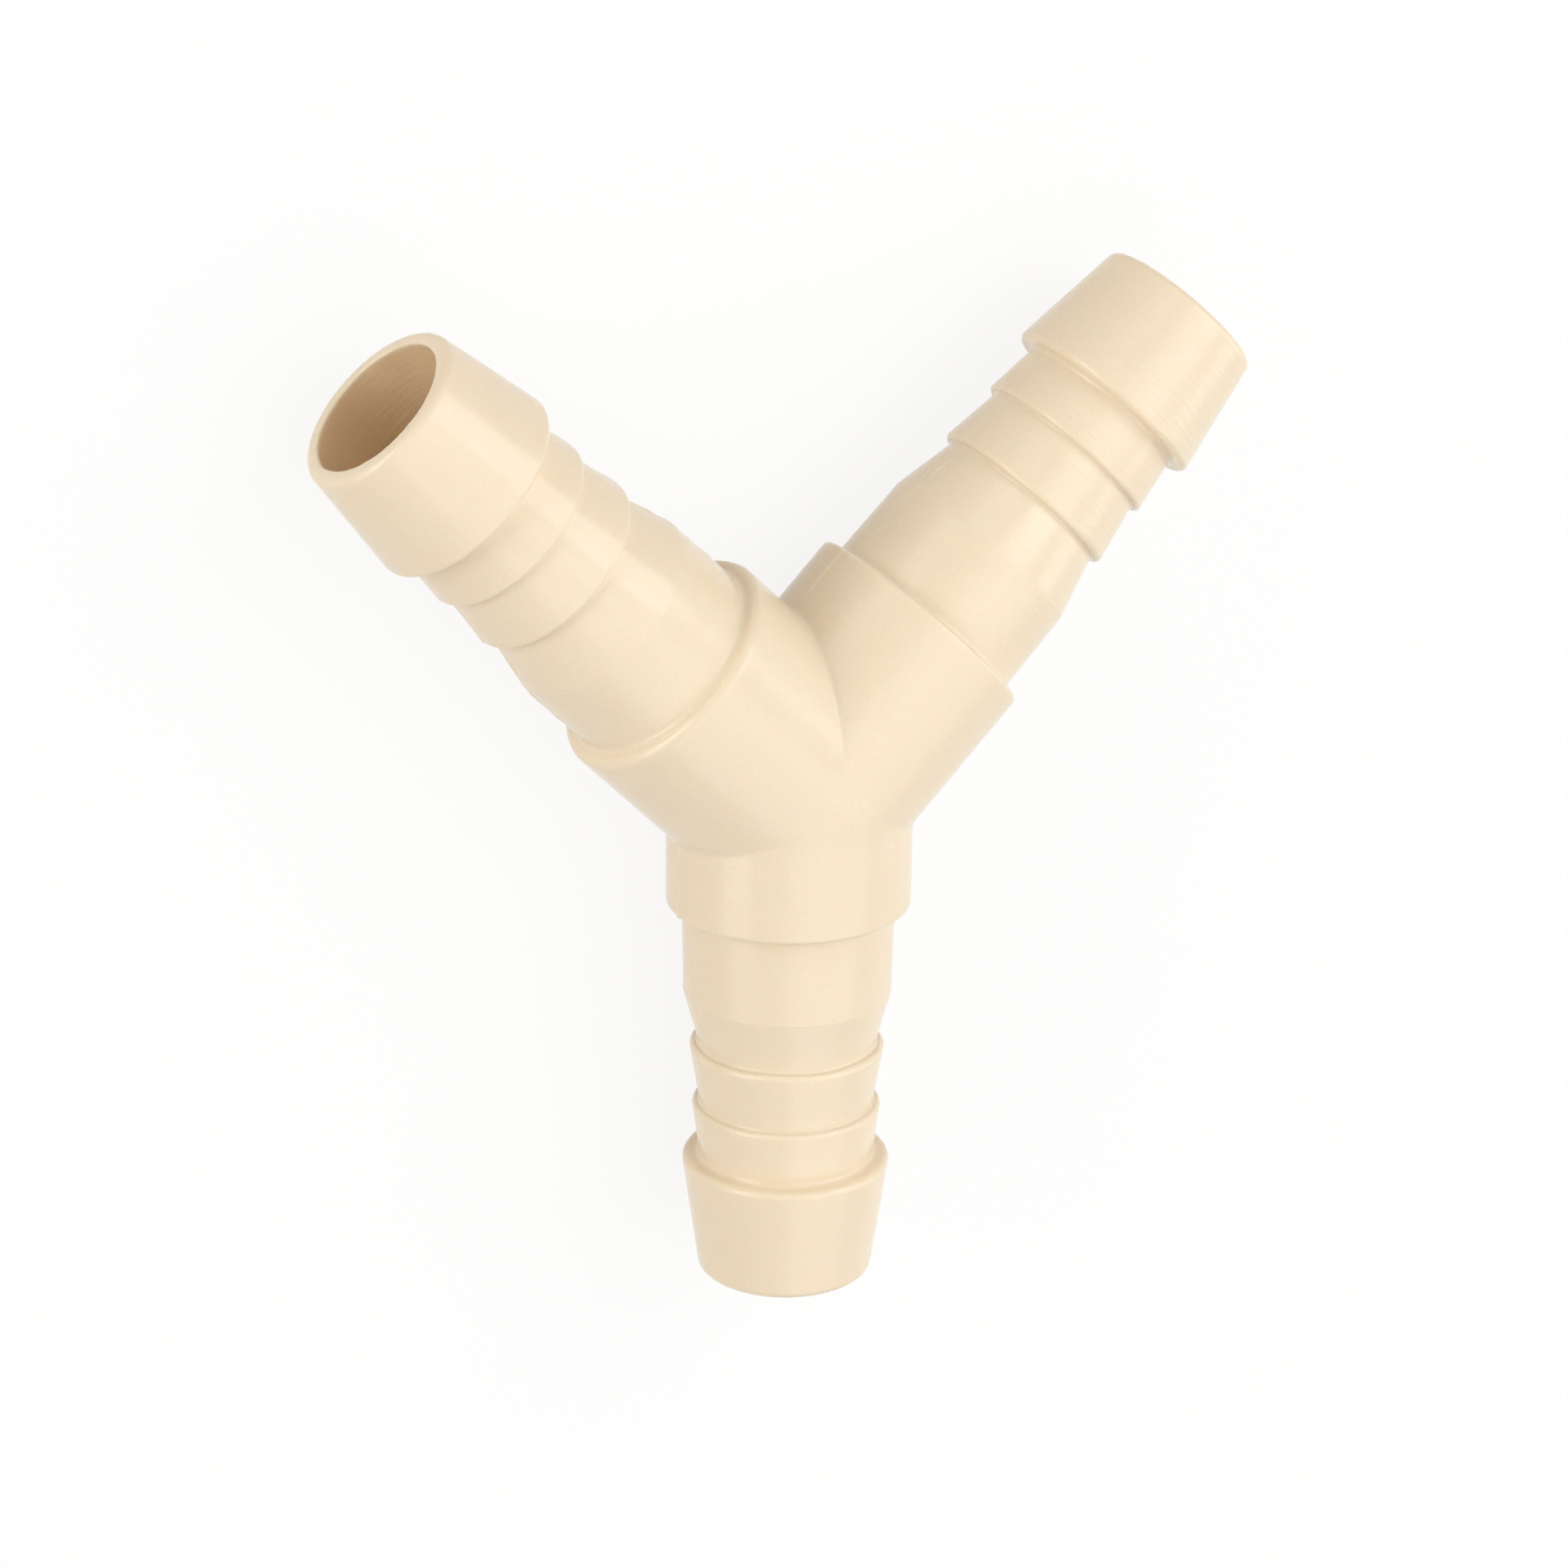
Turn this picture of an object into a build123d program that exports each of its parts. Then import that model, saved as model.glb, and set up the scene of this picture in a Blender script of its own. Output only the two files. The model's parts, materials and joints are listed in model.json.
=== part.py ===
"""Tubing Y connector: one injection-moulded piece with three barbed hose spigots.

The stem and the two arms lie in one plane, the parting plane of the mould, and
their axes meet at the junction. The fitting lies flat: X runs across the arms,
the stem points along -Y and +Z is up. The origin is on the floor, under the
middle of the fitting.
"""
from build123d import *
import math
import os

# Driving dimensions, in millimetres and degrees
ARM_ANGLE = 45.0            # between each arm and the line of the stem
STEM_COLLAR_LENGTH = 12.5   # junction to the stem's shoulder
ARM_COLLAR_LENGTH = 20.2    # junction to each arm's shoulder

BORE_DIAMETER = 14.5
MOUTH_WALL = 1.5            # bore to the outside, at the mouth
NECK_WALL = 1.5             # bore to the outside, under the two outer shoulders
CONE_FOOT_WALL = 1.65       # bore to the outside, where the cone starts
ROOT_WALL = 3.2             # bore to the outside, where the cone ends
ROOT_DRAFT_RISE = 0.15      # the root is this much thicker at the collar
COLLAR_STEP = 1.6           # the collar stands this far above the root
BALL_RISE = 0.25            # the ball at the junction stands this far above the collars

TIP_BARB_LENGTH = 12.5      # mouth to the first shoulder
SECOND_BARB_LENGTH = 5.9
THIRD_BARB_LENGTH = 6.5
CONE_LENGTH = 6.6
ROOT_LENGTH = 8.9

TIP_BARB_HEIGHT = 1.8       # each crest above the neck behind it
SECOND_BARB_HEIGHT = 0.8
THIRD_BARB_HEIGHT = 0.95

LIP_BEVEL = 0.45            # edge of the collar
SHOULDER_BEVEL = 0.45       # foot of the collar's shoulder
TIP_BEVEL = 0.45            # outer edge of the mouth
MOUTH_BEVEL = 0.25          # inner edge of the mouth
CREST_BEVEL = 0.2           # edge of each barb
CREASE_FILLET = 0.8         # where the collars and the ball run together

# Radii of one spigot, all built up from the bore
bore_radius = BORE_DIAMETER / 2
mouth_radius = bore_radius + MOUTH_WALL
neck_radius = bore_radius + NECK_WALL
cone_foot_radius = bore_radius + CONE_FOOT_WALL
tip_crest_radius = neck_radius + TIP_BARB_HEIGHT
second_crest_radius = neck_radius + SECOND_BARB_HEIGHT
third_crest_radius = cone_foot_radius + THIRD_BARB_HEIGHT
root_radius = bore_radius + ROOT_WALL
shoulder_foot_radius = root_radius + ROOT_DRAFT_RISE
collar_radius = shoulder_foot_radius + COLLAR_STEP
ball_radius = collar_radius + BALL_RISE

# An edge is bevelled by no more than its own step or wall allows
EDGE_SHARE = 0.44
lip_bevel = min(LIP_BEVEL, EDGE_SHARE * COLLAR_STEP)
shoulder_bevel = min(SHOULDER_BEVEL, EDGE_SHARE * COLLAR_STEP)
tip_bevel = min(TIP_BEVEL, EDGE_SHARE * MOUTH_WALL)
mouth_bevel = min(MOUTH_BEVEL, EDGE_SHARE * MOUTH_WALL)

# Places along one spigot, measured back from its mouth
second_shoulder = TIP_BARB_LENGTH + SECOND_BARB_LENGTH
third_shoulder = second_shoulder + THIRD_BARB_LENGTH
cone_end = third_shoulder + CONE_LENGTH
spigot_length = cone_end + ROOT_LENGTH

# The stem and the two arms: the turn of each axis from +X, and its collar's length
SPIGOTS = {
    "stem": (-90.0, STEM_COLLAR_LENGTH),
    "right_arm": (90.0 - ARM_ANGLE, ARM_COLLAR_LENGTH),
    "left_arm": (90.0 + ARM_ANGLE, ARM_COLLAR_LENGTH),
}

# The arms reach furthest along +Y at one edge of the bevel round their mouths
stem_reach = STEM_COLLAR_LENGTH + spigot_length
arm_length = ARM_COLLAR_LENGTH + spigot_length
lean = math.radians(ARM_ANGLE)
flank = math.atan2(tip_crest_radius - mouth_radius, TIP_BARB_LENGTH)
bevel_edges = [
    (arm_length, mouth_radius - tip_bevel),
    (arm_length - tip_bevel * math.cos(flank), mouth_radius + tip_bevel * math.sin(flank)),
]
arm_reach = max(place * math.cos(lean) + radius * math.sin(lean) for place, radius in bevel_edges)
junction = Vector(0, (stem_reach - arm_reach) / 2, ball_radius)


def axis_of(turn):
    """The direction of a spigot's axis in the parting plane."""
    return Vector(math.cos(math.radians(turn)), math.sin(math.radians(turn)), 0)


def crest_bevel(height):
    """The bevel on the edge of a barb that stands up by height."""
    return min(CREST_BEVEL, EDGE_SHARE * height)


def half_section(collar_length):
    """Corners of a spigot and its collar from the collar's edge out to the mouth.

    Each corner is its distance from the junction, its radius and its bevel.
    """
    mouth = collar_length + spigot_length
    return [
        (collar_length, collar_radius, lip_bevel),
        (collar_length, shoulder_foot_radius, shoulder_bevel),
        (mouth - cone_end, root_radius, 0),
        (mouth - third_shoulder, cone_foot_radius, 0),
        (mouth - third_shoulder, third_crest_radius, crest_bevel(THIRD_BARB_HEIGHT)),
        (mouth - second_shoulder, neck_radius, 0),
        (mouth - second_shoulder, second_crest_radius, crest_bevel(SECOND_BARB_HEIGHT)),
        (mouth - TIP_BARB_LENGTH, neck_radius, 0),
        (mouth - TIP_BARB_LENGTH, tip_crest_radius, crest_bevel(TIP_BARB_HEIGHT)),
        (mouth, mouth_radius, tip_bevel),
    ]


def is_on_ball(edge):
    """True for an edge that lies on the ball at the junction."""
    return all(abs((edge @ place - junction).length - ball_radius) < 0.01 for place in (0, 0.5, 1))


with BuildPart() as y_connector:
    # Three turned bodies, each with its collar reaching in to the junction
    for turn, collar_length in SPIGOTS.values():
        corners = half_section(collar_length)
        with BuildSketch(Plane(origin=junction, x_dir=axis_of(turn), z_dir=(0, 0, 1))) as section:
            with BuildLine():
                Polyline(
                    (0, 0),
                    (0, collar_radius),
                    *[(place, radius) for place, radius, bevel in corners],
                    (collar_length + spigot_length, 0),
                    close=True,
                )
            make_face()
            for place, radius, bevel in corners:
                if bevel:
                    chamfer(section.vertices().sort_by_distance((place, radius))[0], length=bevel)
        revolve(axis=Axis(junction, axis_of(turn)))

    # The ball swells the middle, so the creases between the collars stop short of the top
    with BuildSketch(Plane(origin=junction)):
        with BuildLine():
            CenterArc((0, 0), ball_radius, 90, 180)
            Line((0, -ball_radius), (0, ball_radius))
        make_face()
    revolve(axis=Axis(junction, (0, 1, 0)))

    # The creases and the ball's rim are blended in one go, so that they meet cleanly
    creases = y_connector.edges().filter_by(GeomType.ELLIPSE)
    fillet(creases + y_connector.edges().filter_by(is_on_ball), radius=CREASE_FILLET)

    # The three bores meet at the junction
    for turn, collar_length in SPIGOTS.values():
        mouth = junction + axis_of(turn) * (collar_length + spigot_length)
        with BuildSketch(Plane(origin=mouth, x_dir=(0, 0, 1), z_dir=axis_of(turn))):
            Circle(bore_radius)
        extrude(amount=-(collar_length + spigot_length), mode=Mode.SUBTRACT)
        rim = y_connector.edges().filter_by(GeomType.CIRCLE).sort_by_distance(mouth)
        chamfer([edge for edge in rim if (edge.arc_center - mouth).length < 0.01][0], length=mouth_bevel)

y_connector.part.label = "y_connector"

os.makedirs("parts", exist_ok=True)
export_step(y_connector.part, "parts/y_connector.step")
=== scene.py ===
"""Dressed model of a tubing Y connector: one moulded body with three barbed spigots.

The file is laid out as an add-on. One operator turns the three spigots from their half
sections and welds them into one closed body, and another sets the floor, the lamps and
the camera. Run as a script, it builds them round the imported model.
"""
import json
import math

import bmesh
import bpy
from bpy.props import FloatProperty, FloatVectorProperty, IntProperty, PointerProperty
from mathutils import Matrix, Vector
from mathutils.geometry import intersect_line_line


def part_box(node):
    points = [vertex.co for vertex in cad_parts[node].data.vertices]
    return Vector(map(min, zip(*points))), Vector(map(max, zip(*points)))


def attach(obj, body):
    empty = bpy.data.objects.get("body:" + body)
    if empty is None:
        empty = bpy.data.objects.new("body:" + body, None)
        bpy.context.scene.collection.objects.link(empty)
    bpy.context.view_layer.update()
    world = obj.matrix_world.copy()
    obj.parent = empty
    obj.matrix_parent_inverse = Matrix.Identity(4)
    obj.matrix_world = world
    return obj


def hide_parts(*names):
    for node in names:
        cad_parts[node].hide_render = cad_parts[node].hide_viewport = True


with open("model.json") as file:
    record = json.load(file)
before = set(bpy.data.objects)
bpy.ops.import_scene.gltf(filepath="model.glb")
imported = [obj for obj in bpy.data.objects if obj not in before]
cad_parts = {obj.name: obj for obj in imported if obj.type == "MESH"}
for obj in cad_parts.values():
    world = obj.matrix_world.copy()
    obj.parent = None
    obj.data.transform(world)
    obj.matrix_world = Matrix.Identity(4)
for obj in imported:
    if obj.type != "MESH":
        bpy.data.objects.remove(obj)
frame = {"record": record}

bl_info = {
    "name": "Tubing Y Connector",
    "version": (1, 0, 0),
    "blender": (4, 5, 0),
    "location": "3D View > Sidebar > Fitting",
    "description": "Builds a moulded Y connector with barbed spigots, and its stage",
    "category": "Object",
}

MM = 0.001
NODE = "y_connector"

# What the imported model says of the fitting's place and bores
LOW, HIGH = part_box(NODE)
MOUNTS = {mount["name"]: mount for mount in frame["record"]["mounts"]}
SPIGOTS = ("right_arm", "left_arm", "stem")     # counterclockwise, seen from above


def axis_of(name):
    """The direction of a spigot's bore."""
    return Vector(MOUNTS[name + "_bore"]["axis"])


def junction_of(first, second):
    """The point where the bores of two spigots meet."""
    ends = []
    for name in (first, second):
        start = Vector(MOUNTS[name + "_bore"]["pos_m"])
        ends += [start, start + axis_of(name)]
    return intersect_line_line(*ends)[0]


JUNCTION = junction_of("stem", "right_arm")


def collar_length_of(name):
    """From the junction to the shoulder that a hose is pushed up to."""
    return (Vector(MOUNTS[name + "_hose"]["pos_m"]) - JUNCTION).dot(axis_of(name))


SPIGOT_LENGTH = JUNCTION.y - LOW.y - collar_length_of("stem")
BALL_RADIUS = (HIGH.z - LOW.z) / 2


def length(name, description, default, **more):
    """A size that a user may change."""
    return FloatProperty(
        name=name, description=description, default=default, min=0.0,
        unit="LENGTH", subtype="DISTANCE", precision=5, **more,
    )


class FittingSizes(bpy.types.PropertyGroup):
    """Sizes of the moulded body, along and round one spigot."""

    bore_radius: length("Bore radius", "Radius of the bores", MOUNTS["stem_bore"]["dims"]["r_mm"] * MM)
    mouth_wall: length("Mouth wall", "Wall at the mouth", 1.5 * MM)
    neck_wall: length("Neck wall", "Wall under the two outer shoulders", 1.5 * MM)
    cone_foot_wall: length("Cone foot wall", "Wall where the cone starts", 1.65 * MM)
    root_wall: length("Root wall", "Wall where the cone ends", 3.2 * MM)
    root_draft: length("Root draft", "How much thicker the root is at the collar", 0.15 * MM)
    collar_step: length("Collar step", "Height of the collar above the root", 1.6 * MM)
    tip_length: length("Tip barb", "Mouth to the first shoulder", 12.5 * MM)
    second_length: length("Second barb", "Length of the second barb", 5.9 * MM)
    third_length: length("Third barb", "Length of the third barb", 6.5 * MM)
    cone_length: length("Cone", "Length of the cone", 6.6 * MM)
    stem_cone_length: length("Stem cone", "Length of the stem's cone", 5.75 * MM)
    stem_cone_round: length("Stem cone round", "Radius where the stem's cone meets its root", 1.8 * MM)
    stem_collar_more: length("Stem collar", "How much further out the stem's shoulder stands", 0.45 * MM)
    tip_height: length("Tip barb height", "First crest above the neck behind it", 1.8 * MM)
    second_height: length("Second barb height", "Second crest above the neck behind it", 0.8 * MM)
    third_height: length("Third barb height", "Third crest above the neck behind it", 0.95 * MM)
    tip_round: length("Tip round", "Outer edge of the mouth", 0.85 * MM)
    mouth_round: length("Mouth round", "Inner edge of the mouth", 0.25 * MM)
    crest_round: length("Crest round", "Edge of each barb", 0.55 * MM)
    neck_round: length("Neck round", "Foot of each barb's shoulder", 0.5 * MM)
    cone_round: length("Cone round", "Where the cone runs into the root", 5.0 * MM)
    left_lip: length("Left lip", "Round on the edge of the left arm's collar", 0.95 * MM)
    right_lip: length("Right lip", "Round on the edge of the right arm's collar", 0.45 * MM)
    stem_lip: length("Stem lip", "Round on the edge of the stem's collar", 0.5 * MM)
    shoulder_round: length("Shoulder round", "Foot of the collar's shoulder", 0.6 * MM)
    crotch_round: length("Crotch round", "Crease between the two arms", 0.5 * MM)
    flank_round: length("Flank round", "Creases between the arms and the stem", 0.8 * MM)
    ball_blend: length("Ball blend", "How softly the ball runs into the left arm and the stem", 0.25 * MM)
    rim_blend: length("Rim blend", "How softly the ball runs into the right arm", 0.09 * MM)
    flash_height: length("Flash height", "Height of the line that the mould leaves", 0.17 * MM)
    flash_width: length("Flash width", "Half width of the line that the mould leaves", 0.17 * MM)
    ridge_height: length("Ridge height", "Height of the line where the cone ends", 0.05 * MM)
    rim_jag: length("Rim jag", "How far the inner edge of the mouth strays from a circle", 0.07 * MM)
    waver: length("Waver", "How far the barbs' edges stray from true", 0.12 * MM)
    segments: IntProperty(name="Segments", description="Faces round a spigot", default=192, min=24)


def linear(colour):
    """The linear RGBA of an sRGB hex colour."""
    parts = [int(colour[i:i + 2], 16) / 255 for i in (0, 2, 4)]
    return tuple(c / 12.92 if c <= 0.04045 else ((c + 0.055) / 1.055) ** 2.4 for c in parts) + (1.0,)


class FittingFinish(bpy.types.PropertyGroup):
    """Colours and gloss of the moulded body."""

    colour: FloatVectorProperty(
        name="Polypropylene", description="Colour of the cream polypropylene",
        subtype="COLOR", size=4, min=0.0, max=1.0, default=linear("F4E4CA"),
    )
    # Painted shade: inside the bores the colour is darker and warmer, standing in for the shade deep in them
    # and the warm light bounced about there. The plastic is the same cream all through.
    bore_painted_shade: FloatVectorProperty(
        name="Bore", description="Colour inside the bores, where the moulding is duller",
        subtype="COLOR", size=4, min=0.0, max=1.0, default=linear("EFD6B2"),
    )
    roughness: FloatProperty(
        name="Roughness", description="Roughness of the moulded skin",
        default=0.19, min=0.0, max=1.0, subtype="FACTOR",
    )
    mark_depth: length("Mark depth", "Depth of the fine rings that the mould's turning left", 0.05 * MM)
    dent_depth: length("Dent depth", "Depth of the slight unevenness where the wall has shrunk", 0.03 * MM)
    drag_depth: length("Drag depth", "Depth of the streaks along a spigot", 0.006 * MM)


# ---------------------------------------------------------------------- nodes

def add_node(tree, kind, feeds=(), **settings):
    """Adds a node with its settings, and feeds its inputs with values or other outputs."""
    node = tree.nodes.new(kind)
    for name, value in settings.items():
        setattr(node, name, value)
    pairs = feeds.items() if isinstance(feeds, dict) else enumerate(feeds)
    for key, value in pairs:
        if isinstance(value, bpy.types.NodeSocket):
            tree.links.new(value, node.inputs[key])
        else:
            node.inputs[key].default_value = value
    return node


# The inputs of a Mix node: its factor, and its two sides for numbers, vectors and colours
FACTOR = 0
NUMBER_A, NUMBER_B = 2, 3
VECTOR_A, VECTOR_B = 4, 5
COLOUR_A, COLOUR_B = 6, 7


def new_tree(name, sockets):
    """An empty geometry tree with named inputs, its group input and the inputs' identifiers."""
    tree = bpy.data.node_groups.new(name, "GeometryNodeTree")
    tree.interface.new_socket("Geometry", in_out="OUTPUT", socket_type="NodeSocketGeometry")
    tree.interface.new_socket("Geometry", in_out="INPUT", socket_type="NodeSocketGeometry")
    ids = {}
    for label, kind in sockets:
        ids[label] = tree.interface.new_socket(label, in_out="INPUT", socket_type=kind).identifier
    return tree, add_node(tree, "NodeGroupInput"), ids


# ---------------------------------------------------------------- half section

ROUND_STEPS = 6            # straight pieces in each round
CREASE_RINGS = 8           # rings across the fillet of a crease
RING_SPACING = 0.9 * MM
BORE_RINGS = 16
GUARD = 0.12 * MM          # a ring this close to each round keeps the flats next to it flat
SHORTEST = 3 * GUARD       # a straight shorter than this gets no rings of its own
BORE_START = 3 * GUARD     # from the round of the mouth's inner edge to the first ring of the bore
CREST_SHARE = 0.53         # the most of a barb's height that the round on its crest takes
NECK_SHARE = 0.35          # the most of a barb's height that the round at its foot takes
CONE_WAVER = 0.2           # the share of the barbs' waver that the end of the cone has
FLASH_START = 6.0          # the flash is full a sixth of the way along the collar
FLASH_FADE = 14.0 * MM     # it dies away over this length, up to the crest of the outermost barb


def arc_at(before, corner, after, rounding):
    """Points of the arc that rounds the corner between two neighbours."""
    leg_in = (before - corner).normalized()
    leg_out = (after - corner).normalized()
    half = leg_in.angle(leg_out) / 2
    reach = rounding / math.tan(half)
    centre = corner + (leg_in + leg_out).normalized() * rounding / math.sin(half)
    start = corner + leg_in * reach - centre
    end = corner + leg_out * reach - centre
    points = []
    for step in range(ROUND_STEPS + 1):
        share = step / ROUND_STEPS
        turn = start.angle_signed(end) * share
        points.append(centre + Matrix.Rotation(-turn, 2) @ start)
    return points


def ring(place, radius, **facts):
    """One ring of a half section; it is plain outside unless its facts say more."""
    plain = {
        "share": 1.0,      # 0 at the crease, 1 where the ring lies square to the axis
        "bend": 0.0,       # 1 half way round the fillet of the crease, 0 clear of it
        "outside": 1.0,    # 0 in the bore
        "waver": 0.0,      # how much the ring strays from true
        "ridge": 0.0,      # 1 where the cone ends
        "jag": 0.0,        # 1 on the inner edge of the mouth
        "flash": 1.0,      # how high the line of flash stands
    }
    return {"place": place, "radius": radius, **plain, **facts}


def outer_corners(sizes, name):
    """Corners of the outside from the collar to the mouth: place, radius, rounding and facts."""
    collar_length = collar_length_of(name)
    mouth = collar_length + SPIGOT_LENGTH
    cone_length, cone_round = sizes.cone_length, sizes.cone_round
    if name == "stem":
        collar_length += sizes.stem_collar_more
        cone_length, cone_round = sizes.stem_cone_length, sizes.stem_cone_round
    neck = sizes.bore_radius + sizes.neck_wall
    cone_foot = sizes.bore_radius + sizes.cone_foot_wall
    root = sizes.bore_radius + sizes.root_wall
    shoulder = root + sizes.root_draft
    lip = {"left_arm": sizes.left_lip, "right_arm": sizes.right_lip, "stem": sizes.stem_lip}[name]
    corners = [
        (collar_length, shoulder + sizes.collar_step, lip, {}),
        (collar_length, shoulder, sizes.shoulder_round, {}),
    ]
    place = mouth - sizes.tip_length - sizes.second_length - sizes.third_length
    corners.append((place - cone_length, root, cone_round, {"waver": CONE_WAVER, "ridge": 1.0}))
    for foot, height, reach in (
        (cone_foot, sizes.third_height, sizes.third_length),
        (neck, sizes.second_height, sizes.second_length),
        (neck, sizes.tip_height, sizes.tip_length),
    ):
        neck_round = min(sizes.neck_round, NECK_SHARE * height)
        crest_round = min(sizes.crest_round, CREST_SHARE * height)
        corners.append((place, foot, neck_round, {"waver": 1.0}))
        corners.append((place, foot + height, crest_round, {"waver": 1.0}))
        place += reach
    corners.append((mouth, sizes.bore_radius + sizes.mouth_wall, sizes.tip_round, {}))
    corners.append((mouth, sizes.bore_radius, sizes.mouth_round, {"jag": 1.0}))
    return corners


def spread(start, end):
    """Shares of the way from start to end, with a guard ring next to each end."""
    gap = (end - start).length
    if gap < SHORTEST:
        return []
    count = max(1, round((gap - 2 * GUARD) / RING_SPACING))
    guard = GUARD / gap
    return [guard + (1 - 2 * guard) * step / count for step in range(count + 1)]


def flash_at(place, flash_end):
    """How high the flash stands on the spigot, from 1 down to 0 where it ends."""
    return min(1.0, max(0.0, (flash_end - place) / FLASH_FADE))


def half_section(sizes, name):
    """Rings of one spigot from the crease out to the mouth and back down the bore."""
    corners = outer_corners(sizes, name)
    points = [Vector(corner[:2]) for corner in corners]
    collar_radius = points[0].y
    line = [Vector((0.0, collar_radius))] + points + [Vector((0.0, sizes.bore_radius))]
    arcs = [arc_at(line[i], line[i + 1], line[i + 2], corner[2]) for i, corner in enumerate(corners)]
    flash_end = points[-1].x - sizes.tip_length

    # The collar, from the fillet of the crease out to its lip
    lip = arcs[0][0].x
    rings = []
    for step in range(CREASE_RINGS):
        rings.append(ring(lip, collar_radius, share=0.0, bend=1 - step / CREASE_RINGS, flash=0.0))
    steps = round(lip / RING_SPACING)
    for step in range(steps):
        share = step / steps
        rings.append(ring(lip, collar_radius, share=share, flash=min(1.0, share * FLASH_START)))
    rings.append(ring(lip - GUARD, collar_radius))

    # The spigot, round by round; the ridge stands in the middle of its round, and each
    # straight takes its waver from its two ends
    for i, arc in enumerate(arcs):
        facts = corners[i][3]
        waver = facts.get("waver", 0.0)
        for step, point in enumerate(arc):
            rings.append(ring(
                point.x, point.y, waver=waver, flash=flash_at(point.x, flash_end),
                ridge=facts.get("ridge", 0.0) * (2 * step == ROUND_STEPS), jag=facts.get("jag", 0.0),
            ))
        if i + 1 < len(arcs):
            start, end = arc[-1], arcs[i + 1][0]
            next_waver = corners[i + 1][3].get("waver", 0.0)
            for share in spread(start, end):
                point = start.lerp(end, share)
                between = waver + (next_waver - waver) * share
                rings.append(ring(point.x, point.y, waver=between, flash=flash_at(point.x, flash_end)))

    # The bore, from behind the rim in to where the three bores meet
    inside = arcs[-1][-1].x - BORE_START
    for step in range(BORE_RINGS + 1):
        share = 1 - step / BORE_RINGS
        rings.append(ring(inside, sizes.bore_radius, share=share, outside=0.0, flash=0.0))
    return rings


RING_FACTS = tuple(ring(0.0, 0.0))


def ring_mesh(name, rings):
    """A mesh with one loose point for each ring, which carries the ring's facts."""
    mesh = bpy.data.meshes.new(name)
    mesh.from_pydata([(one["place"], one["radius"], 0.0) for one in rings], [], [])
    for fact in RING_FACTS:
        attribute = mesh.attributes.new(fact, "FLOAT", "POINT")
        attribute.data.foreach_set("value", [one[fact] for one in rings])
    return mesh


# -------------------------------------------------------------- turned spigots

PARTING_PULL = 0.45        # draws the columns of faces towards the parting line
NOISE_MIDDLE = 0.5         # a noise strays to both sides of this
WAVER_NOISE = (300.0, 1.6, 1.6)    # how fast the waver changes: per metre along, and round the axis
WAVER_GAIN = 2.0           # brings the stray of the noise up to a whole
RIDGE_NOISE = 1.3          # how fast the ridge comes and goes round the axis
RIDGE_PATCH = (0.35, 0.6)  # the noise at which the ridge is gone, and at which it is full
JAG_NOISE = 4.5            # how fast the inner edge of the mouth changes round the axis
JAG_GAIN = 4.0             # this finer noise strays less, so it is drawn out more
FLASH_NOISE = (450.0, 3.0, 1.0)    # how fast the flash changes: per metre along, and from side to side
FLASH_PATCH = (0.35, 0.65)         # the noise at which the flash is gone, and at which it is full
RIM_TURN = 0.5             # cosine of the angle from the right arm within which its own blend holds


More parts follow.
